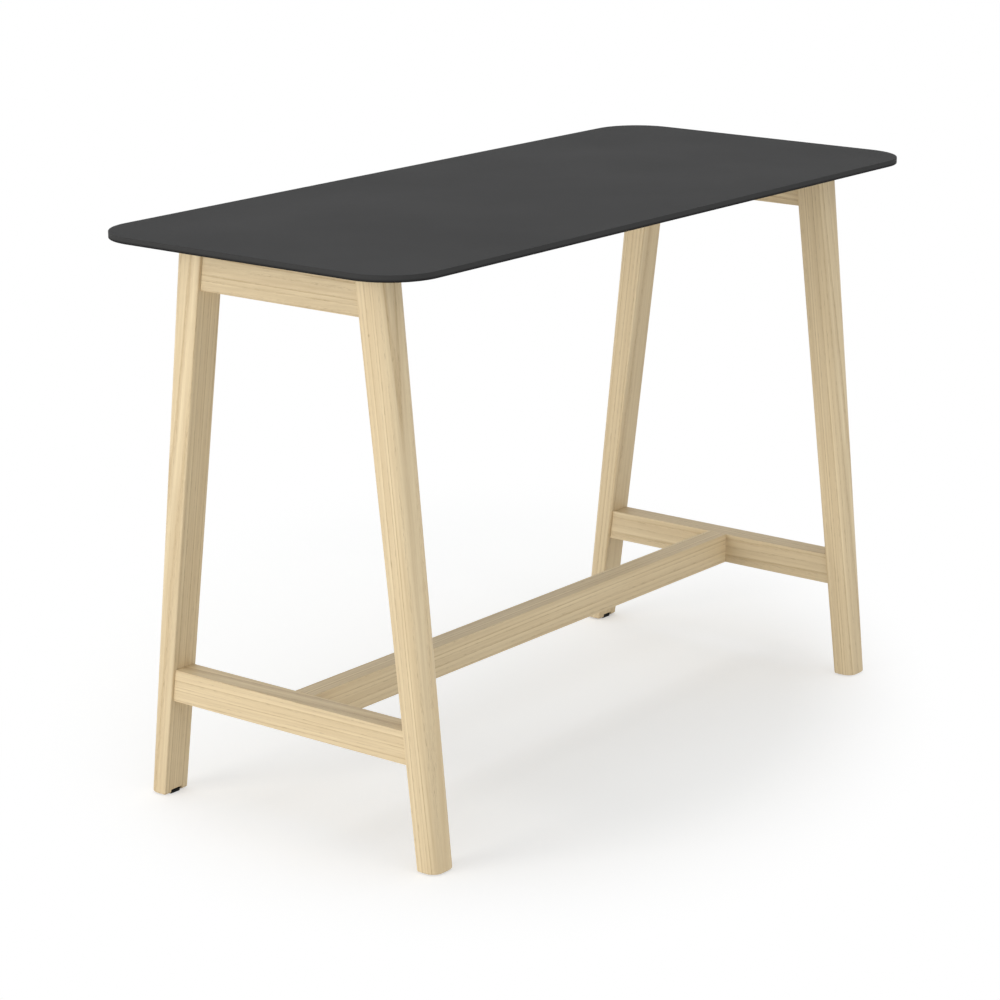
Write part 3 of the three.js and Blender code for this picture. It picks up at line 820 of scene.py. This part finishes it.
@dataclass
class EndFrames:
    """The two end frames: splayed legs that taper and are round outside, with an upper and a lower rail."""

    leg_thickness: float = 0.060
    foot_inner: float = 0.296
    head_inner: float = 0.1695
    foot_width: float = 0.041
    head_width: float = 0.062
    underside: float = 1.038
    foot_gap: float = 0.0025
    head_gap: float = 0.0003
    corner_radius: float = 0.021
    corner_steps: int = 12
    arris: float = 0.0030
    foot_ease: float = 0.0026
    frame_x: float = 0.670
    foot_inset: float = 0.015
    pocket_width: float = 0.0272
    pocket_length: float = 0.0292
    pocket_top: float = 0.009
    sleeve_radius: float = 0.0065
    sleeve_top: float = 0.0333
    stem_bore_radius: float = 0.00445
    stem_bore_top: float = 0.043
    rail_arris: float = 0.0014
    frame_screw_offset: float = 0.060
    knotty_corner: str = "front_left"
    pin_knot: Vector = Vector((-0.700, -0.2025, 0.924))

    def inner_at(self, height: float) -> float:
        """How far from the table's middle a leg's inner face is at a height."""
        return self.foot_inner + (self.head_inner - self.foot_inner) * height / self.underside

    def outer_at(self, height: float) -> float:
        """How far from the table's middle a leg's outer face is at a height."""
        width = self.foot_width + (self.head_width - self.foot_width) * height / self.underside
        return self.inner_at(height) + width

    @property
    def lean(self) -> float:
        """The angle that a leg's middle line leans by."""
        foot = (self.inner_at(0) + self.outer_at(0)) / 2
        head = (self.inner_at(self.underside) + self.outer_at(self.underside)) / 2
        return math.atan2(foot - head, self.underside)

    def foot_cutters(self) -> list[Workpiece]:
        """Make the cutters for a leg's foot: a pocket open to the inner face, sleeve hole and stem bore."""
        centre = self.foot_inner + self.foot_inset
        below = self.foot_gap - CUT_MARGIN
        rounds = [
            Workpiece.bar("sleeve_cutter", self.sleeve_radius, below, self.sleeve_top, 32),
            Workpiece.bar("bore_cutter", self.stem_bore_radius, below, self.stem_bore_top, 32),
        ]
        for cutter in rounds:
            cutter.thing.location = (0, centre, 0)
            cutter.settle()
        half = self.pocket_width / 2
        low = Vector((-half, self.foot_inner - CUT_MARGIN, below))
        high = Vector((half, centre + self.pocket_length / 2, self.pocket_top))
        return [Workpiece.block("pocket_cutter", low, high), *rounds]

    def leg_pattern(self) -> Workpiece:
        """Shape a leg on the +Y side of the frame's middle, with the frame at x = 0."""
        half = self.leg_thickness / 2
        bottom = self.foot_gap
        top = self.underside - self.head_gap
        low = Vector((-half, self.inner_at(bottom), bottom))
        high = Vector((half, self.outer_at(bottom), top))
        leg = Workpiece.block("leg_pattern", low, high)
        middle_y = (low.y + high.y) / 2
        with leg.editing():
            leg.pick_points(lambda spot: spot.z > top - SAME_PLACE and spot.y < middle_y)
            leg.shift(Vector((0, self.inner_at(top) - low.y, 0)))
            leg.pick_points(lambda spot: spot.z > top - SAME_PLACE and spot.y > middle_y)
            leg.shift(Vector((0, self.outer_at(top) - high.y, 0)))
            leg.pick_edges(lambda middle, run: abs(run.z) > 0.9 and middle.y > self.mid_leg(middle.z))
            leg.round_over(self.corner_radius, self.corner_steps)
            leg.pick_edges(lambda middle, run: abs(run.z) > 0.9 and middle.y < self.inner_at(middle.z) + SAME_PLACE)
            leg.round_over(self.arris, 3)
            leg.pick_edges(lambda middle, run: middle.z < bottom + SAME_PLACE)
            leg.round_over(self.foot_ease, 3)
        leg.cut_with(*self.foot_cutters())
        return leg

    def mid_leg(self, height: float) -> float:
        """Where a leg's middle line is at a height."""
        return (self.inner_at(height) + self.outer_at(height)) / 2

    def build_legs(self) -> None:
        """Copy the leg to each corner, each sawn from another place in the tree."""
        pattern = self.leg_pattern()
        for end in End:
            for side in Side:
                corner = f"{side.label}_{end.label}"
                name = f"leg_{corner}"
                turn = 0 if side is Side.BACK else math.pi
                leg = pattern.copy(f"finished_{name}", turn, Vector((end.value * self.frame_x, 0, 0)))
                low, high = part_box(name)
                board = LEG_BOARDS[corner]
                grain = Grain(
                    centre=(low + high) / 2,
                    turn=Euler((-side.value * self.lean + board.tilt, board.tilt, 0)),
                    pith=board.pith,
                    along=low.x + high.y,
                    tone=board.tone,
                    knot=self.pin_knot if corner == self.knotty_corner else None,
                )
                leg.install(name, "table", Slot.ASH, ASH.coat(name, grain))
        pattern.discard()

    def rail(self, name: str) -> Workpiece:
        """Shape a cross rail whose ends follow the slope of the legs.

        Args:
            name: The rail's node.

        Returns:
            The rail.
        """
        low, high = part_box(name)
        slope = (self.foot_inner - self.head_inner) / self.underside * (high.z - low.z)
        rail = Workpiece.block(f"finished_{name}", low, high)
        with rail.editing():
            for side in Side:
                reach = side.value * high.y
                rail.pick_points(lambda spot: spot.z > high.z - SAME_PLACE and abs(spot.y - reach) < SAME_PLACE)
                rail.shift(Vector((0, -side.value * slope, 0)))
            rail.pick_edges(lambda middle, run: abs(run.y) > 0.99)
            rail.round_over(self.rail_arris, 3)
        return rail

    def build_rails(self) -> None:
        """Build the four cross rails, the upper ones with pockets for the screws up into the top."""
        pocket = ScrewPocket()
        for end in End:
            for level in ("upper", "lower"):
                name = f"{level}_rail_{end.label}"
                low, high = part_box(name)
                rail = self.rail(name)
                if level == "upper":
                    for side in Side:
                        spot = side.value * self.frame_screw_offset
                        rail.cut_with(pocket.tool(low.z, end.value * self.frame_x, spot))
                board = RAIL_BOARDS[f"{level}_{end.label}"]
                grain = Grain(
                    centre=(low + high) / 2,
                    turn=Euler((math.pi / 2 + board.tilt, board.tilt, 0)),
                    pith=board.pith,
                    along=low.x + high.z,
                    tone=board.tone,
                )
                rail.install(name, "table", Slot.ASH, ASH.coat(name, grain))

    def build_tenons(self) -> None:
        """Dress the loose tenons between rails and legs."""
        for end in End:
            for side in Side:
                for level in ("upper", "lower"):
                    name = f"{level}_tenon_{side.label}_{end.label}"
                    low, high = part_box(name)
                    grain = Grain((low + high) / 2, Euler((math.pi / 2, 0, 0)), (0.05, 0.06), low.x)
                    dress_solid(name, BEECH.coat(name, grain))

    def build(self) -> None:
        """Build both end frames."""
        self.build_legs()
        self.build_rails()
        self.build_tenons()


@dataclass
class LongBars:
    """The bars that run from end frame to end frame: the footrest stretcher and the two bearers under the top."""

    finishes: Finishes
    arris: float = 0.0014
    fitting_radius: float = 0.012
    fitting_x: float = 0.602
    fitting_top: float = 0.229
    screw_spacing: float = 0.560
    bearer_offset: float = 0.110

    def bar(self, name: str, pith: tuple[float, float], tilt: float, *tools: Workpiece) -> None:
        """Shape, cut and dress one bar.

        Args:
            name: The bar's node.
            pith: Where the tree's middle was, seen along the bar.
            tilt: How far the fibres run out of the bar's line.
            tools: The cutters for its pockets.
        """
        low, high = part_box(name)
        bar = Workpiece.block(f"finished_{name}", low, high)
        with bar.editing():
            bar.pick_edges(lambda middle, run: abs(run.x) > 0.99)
            bar.round_over(self.arris, 3)
        bar.cut_with(*tools)
        grain = Grain((low + high) / 2, Euler((tilt, -math.pi / 2 + tilt, 0)), pith, low.y)
        bar.install(name, "table", Slot.ASH, ASH.coat(name, grain))

    def fitting_cutter(self, end: End) -> Workpiece:
        """Make the cutter for the pocket that holds the stretcher's nut and washer."""
        low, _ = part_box("stretcher")
        cutter = Workpiece.bar("fitting_cutter", self.fitting_radius, low.z - CUT_MARGIN, self.fitting_top, 48)
        cutter.thing.location = (end.value * self.fitting_x, 0, 0)
        cutter.settle()
        return cutter

    def build_stretcher(self) -> None:
        """Build the stretcher and dress the fittings in its ends."""
        self.bar("stretcher", (0.13, 0.12), 0.004, *(self.fitting_cutter(end) for end in End))
        for end in End:
            for fitting in ("stretcher_stud", "crescent_washer", "stretcher_nut"):
                dress_solid(f"{fitting}_{end.label}", self.finishes.zinc)
            for height in ("low", "high"):
                self.dress_dowel(f"stretcher_dowel_{end.label}_{height}")

    def build_bearers(self) -> None:
        """Build the two bearers with their screw pockets, and dress the dowels in their ends."""
        pocket = ScrewPocket()
        for side in Side:
            name = f"bearer_{side.label}"
            low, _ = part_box(name)
            spots = [step * self.screw_spacing for step in (-1, 0, 1)]
            tools = [pocket.tool(low.z, spot, side.value * self.bearer_offset) for spot in spots]
            self.bar(name, (0.09 * side.value, 0.14), 0.006 * side.value, *tools)
            for end in End:
                for height in ("low", "high"):
                    self.dress_dowel(f"bearer_dowel_{end.label}_{side.label}_{height}")

    def dress_dowel(self, name: str) -> None:
        """Dress one beech dowel."""
        low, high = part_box(name)
        grain = Grain((low + high) / 2, Euler((0, -math.pi / 2, 0)), (0.03, 0.04), low.y + low.z)
        dress_solid(name, BEECH.coat(name, grain))

    def build(self) -> None:
        """Build all three bars."""
        self.build_stretcher()
        self.build_bearers()


@dataclass
class TopScrews:
    """The screws that hold the board to the bearers and to the upper rails."""

    finishes: Finishes
    head_radius: float = 0.0045
    head_height: float = 0.003
    head_ease: float = 0.001
    drive_flats: float = 0.004
    drive_depth: float = 0.0018
    shank_radius: float = 0.0022
    shank_length: float = 0.0226
    point: float = 0.002
    thread_pitch: float = 0.0018
    thread_root: float = 0.8

    def pattern(self) -> Workpiece:
        """Shape a screw on the Z axis with its head below z = 0: a rounded head, a socket and a threaded shank."""
        screw = Workpiece.bar("screw_pattern", self.head_radius, -self.head_height, 0, 32)
        turns = int((self.shank_length - self.point) / self.thread_pitch)
        plain = self.shank_length - self.point - turns * self.thread_pitch
        with screw.editing():
            screw.pick_edges(lambda middle, run: middle.z < -self.head_height + SAME_PLACE)
            screw.round_over(self.head_ease, 4)
            screw.pick_faces(lambda middle, normal: normal.z > 0.9)
            screw.narrow(self.head_radius - self.shank_radius)
            screw.pull(plain)
            for _ in range(turns):
                screw.pull(self.thread_pitch / 2)
                screw.shrink(self.thread_root)
                screw.pull(self.thread_pitch / 2)
                screw.shrink(1 / self.thread_root)
            screw.pull(self.point)
            screw.shrink(0.1)
        bottom = -self.head_height - CUT_MARGIN
        socket_floor = self.drive_depth - self.head_height
        socket = Workpiece.bar("drive_cutter", self.drive_flats / math.sqrt(3), bottom, socket_floor, 6)
        screw.cut_with(socket)
        return screw

    def build(self) -> None:
        """Copy the screw to each of its places."""
        pattern = self.pattern()
        names = [f"top_screw_{number}" for number in range(1, 7)]
        names += [f"frame_screw_{side.label}_{end.label}" for end in End for side in Side]
        for name in names:
            low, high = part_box(name)
            place = Vector(((low.x + high.x) / 2, (low.y + high.y) / 2, low.z + self.head_height))
            pattern.copy(f"finished_{name}", 0, place).install(name, "table", Slot.ZINC, self.finishes.zinc)
        pattern.discard()


@dataclass
class Studio:
    """The plain white studio: floor, sky, lamps and the camera at the photograph's angle."""

    floor_radius: float = 24.0
    floor_colour: Colour = (0.86, 0.86, 0.85)
    floor_lift: float = 0.31
    pool_centre: tuple[float, float] = (-0.10, 0.40)
    pool_reach: tuple[float, float] = (0.86, 1.35)
    pool_inner: float = 0.70
    pool_outer: float = 1.10
    sky_strength: float = 0.60
    sky_colour: Colour = (0.985, 1.0, 1.02)
    camera_place: Vector = Vector((-4.4806, -3.4129, 2.0099))
    camera_yaw: float = 0.9103
    camera_pitch: float = 0.269
    focal_pixels: float = 3083.3
    image_pixels: float = 1000.0
    sensor: float = 36.0

    def seen_directly(self, tree: bpy.types.NodeTree) -> Socket:
        """Add nodes that are 1 where a camera, glossy or transmission ray arrives.

        Args:
            tree: The node tree to add them to.

        Returns:
            The socket that holds the answer.
        """
        path = tree.nodes.new("ShaderNodeLightPath")
        total = path.outputs["Is Camera Ray"]
        for ray in ("Is Glossy Ray", "Is Transmission Ray"):
            either = tree.nodes.new("ShaderNodeMath")
            either.operation = "MAXIMUM"
            tree.links.new(total, either.inputs[0])
            tree.links.new(path.outputs[ray], either.inputs[1])
            total = either.outputs["Value"]
        return total

    def build_sky(self) -> None:
        """Light the table evenly from all round, and show white where the sky is seen itself."""
        world = bpy.data.worlds.new("studio_sky")
        world.use_nodes = True
        tree = world.node_tree
        tree.nodes.clear()
        light = tree.nodes.new("ShaderNodeBackground")
        light.inputs["Strength"].default_value = self.sky_strength
        light.inputs["Color"].default_value = (*self.sky_colour, 1)
        white = tree.nodes.new("ShaderNodeBackground")
        white.inputs["Color"].default_value = (1, 1, 1, 1)
        mix = tree.nodes.new("ShaderNodeMixShader")
        output = tree.nodes.new("ShaderNodeOutputWorld")
        tree.links.new(self.seen_directly(tree), mix.inputs[0])
        tree.links.new(light.outputs[0], mix.inputs[1])
        tree.links.new(white.outputs[0], mix.inputs[2])
        tree.links.new(mix.outputs[0], output.inputs["Surface"])
        bpy.context.scene.world = world

    def floor_material(self) -> bpy.types.Material:
        """Make the floor: an oval pool round the table keeps the shadow, and fades to white further off."""
        recipe = Recipe("studio_floor")
        tree = recipe.tree
        paint = recipe.add("ShaderNodeBsdfDiffuse", Color=(*self.floor_colour, 1.0))
        lift = recipe.add("ShaderNodeEmission", Strength=self.floor_lift)
        white = recipe.add("ShaderNodeEmission", Strength=1.0)
        clear = recipe.add("ShaderNodeBsdfTransparent")
        across, along = self.pool_reach
        turned = recipe.mapped(recipe.place, (1, 1, 1), Euler((0, 0, self.camera_yaw)))
        middle = Vector((-self.pool_centre[0] / across, -self.pool_centre[1] / along, 0))
        oval = recipe.mapped(turned, (1 / across, 1 / along, 1), Euler(), middle)
        smooth = {"interpolation_type": "SMOOTHSTEP"}
        fade = recipe.add("ShaderNodeMapRange", smooth, Value=recipe.length(oval))
        fade.inputs["From Min"].default_value = self.pool_inner
        fade.inputs["From Max"].default_value = self.pool_outer
        near = recipe.add("ShaderNodeAddShader")
        tree.links.new(paint.outputs[0], near.inputs[0])
        tree.links.new(lift.outputs[0], near.inputs[1])
        shown = self.mixed(tree, fade.outputs["Result"], near.outputs[0], white.outputs[0])
        either = self.mixed(tree, self.seen_directly(tree), paint.outputs[0], shown)
        under = recipe.add("ShaderNodeNewGeometry").outputs["Backfacing"]
        whole = self.mixed(tree, under, either, clear.outputs[0])
        output = next(node for node in tree.nodes if node.type == "OUTPUT_MATERIAL")
        tree.links.new(whole, output.inputs["Surface"])
        tree.nodes.remove(recipe.shader)
        return recipe.material

    def mixed(self, tree: bpy.types.NodeTree, share: Socket, first: Socket, second: Socket) -> Socket:
        """Mix two shaders by a share."""
        mix = tree.nodes.new("ShaderNodeMixShader")
        for socket, source in zip(mix.inputs, (share, first, second)):
            tree.links.new(source, socket)
        return mix.outputs[0]

    def build_floor(self) -> None:
        """Lay the floor just under the glides."""
        start_clean()
        bpy.ops.mesh.primitive_circle_add(vertices=96, radius=self.floor_radius, fill_type="NGON", location=(0, 0, 0))
        floor = bpy.context.object
        floor.name = "studio_floor"
        floor.data.transform(floor.matrix_world)
        floor.data.materials.append(self.floor_material())

    def lamp(self, name: str, place: Vector, aim: Vector, size: float, power: float, colour: Colour) -> None:
        """Hang one large soft lamp.

        Args:
            name: The lamp's name.
            place: Where it hangs.
            aim: What it points at.
            size: The length of its sides.
            power: Its power in watts.
            colour: The colour of its light.
        """
        data = bpy.data.lights.new(name, "AREA")
        data.shape = "SQUARE"
        data.size = size
        data.energy = power
        data.color = colour
        lamp = bpy.data.objects.new(name, data)
        bpy.context.scene.collection.objects.link(lamp)
        lamp.location = place
        lamp.rotation_euler = (aim - place).to_track_quat("-Z", "Y").to_euler()

    def build_lamps(self) -> None:
        """Hang a soft key lamp to the left, a weak low one in front and a weak one above."""
        self.lamp("key_lamp", Vector((-6.66, 2.16, 1.7)), Vector((0, 0, 0.55)), 3.6, 190, (1.0, 0.97, 0.93))
        self.lamp("fill_lamp", Vector((-0.6, -5.4, 0.9)), Vector((0, 0, 0.7)), 2.4, 47, (1.0, 0.99, 0.97))
        self.lamp("top_lamp", Vector((0.2, 0.7, 4.2)), Vector((0, 0, 0.8)), 3.0, 30, (1.0, 1.0, 1.0))

    def build_camera(self) -> None:
        """Set the camera up where the photograph was taken from."""
        data = bpy.data.cameras.new("camera")
        data.sensor_width = self.sensor
        data.lens = self.focal_pixels / self.image_pixels * self.sensor
        data.clip_end = 200
        camera = bpy.data.objects.new("camera", data)
        bpy.context.scene.collection.objects.link(camera)
        camera.location = self.camera_place
        camera.rotation_euler = (math.pi / 2 - self.camera_pitch, 0, -self.camera_yaw)
        bpy.context.scene.camera = camera

    def build(self) -> None:
        """Set up the whole studio."""
        bpy.context.scene.view_settings.view_transform = "Standard"
        self.build_camera()
        self.build_sky()
        self.build_floor()
        self.build_lamps()


def main() -> None:
    """Build the studio and the table."""
    logging.basicConfig(level=logging.INFO, format="%(name)s: %(message)s")
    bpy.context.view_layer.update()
    Studio().build()
    finishes = Finishes.mix()
    Tabletop(finishes).build()
    EndFrames().build()
    LongBars(finishes).build()
    TopScrews(finishes).build()
    LevellingFoot(finishes).build()
    start_clean()


if __name__ == "__main__":
    main()
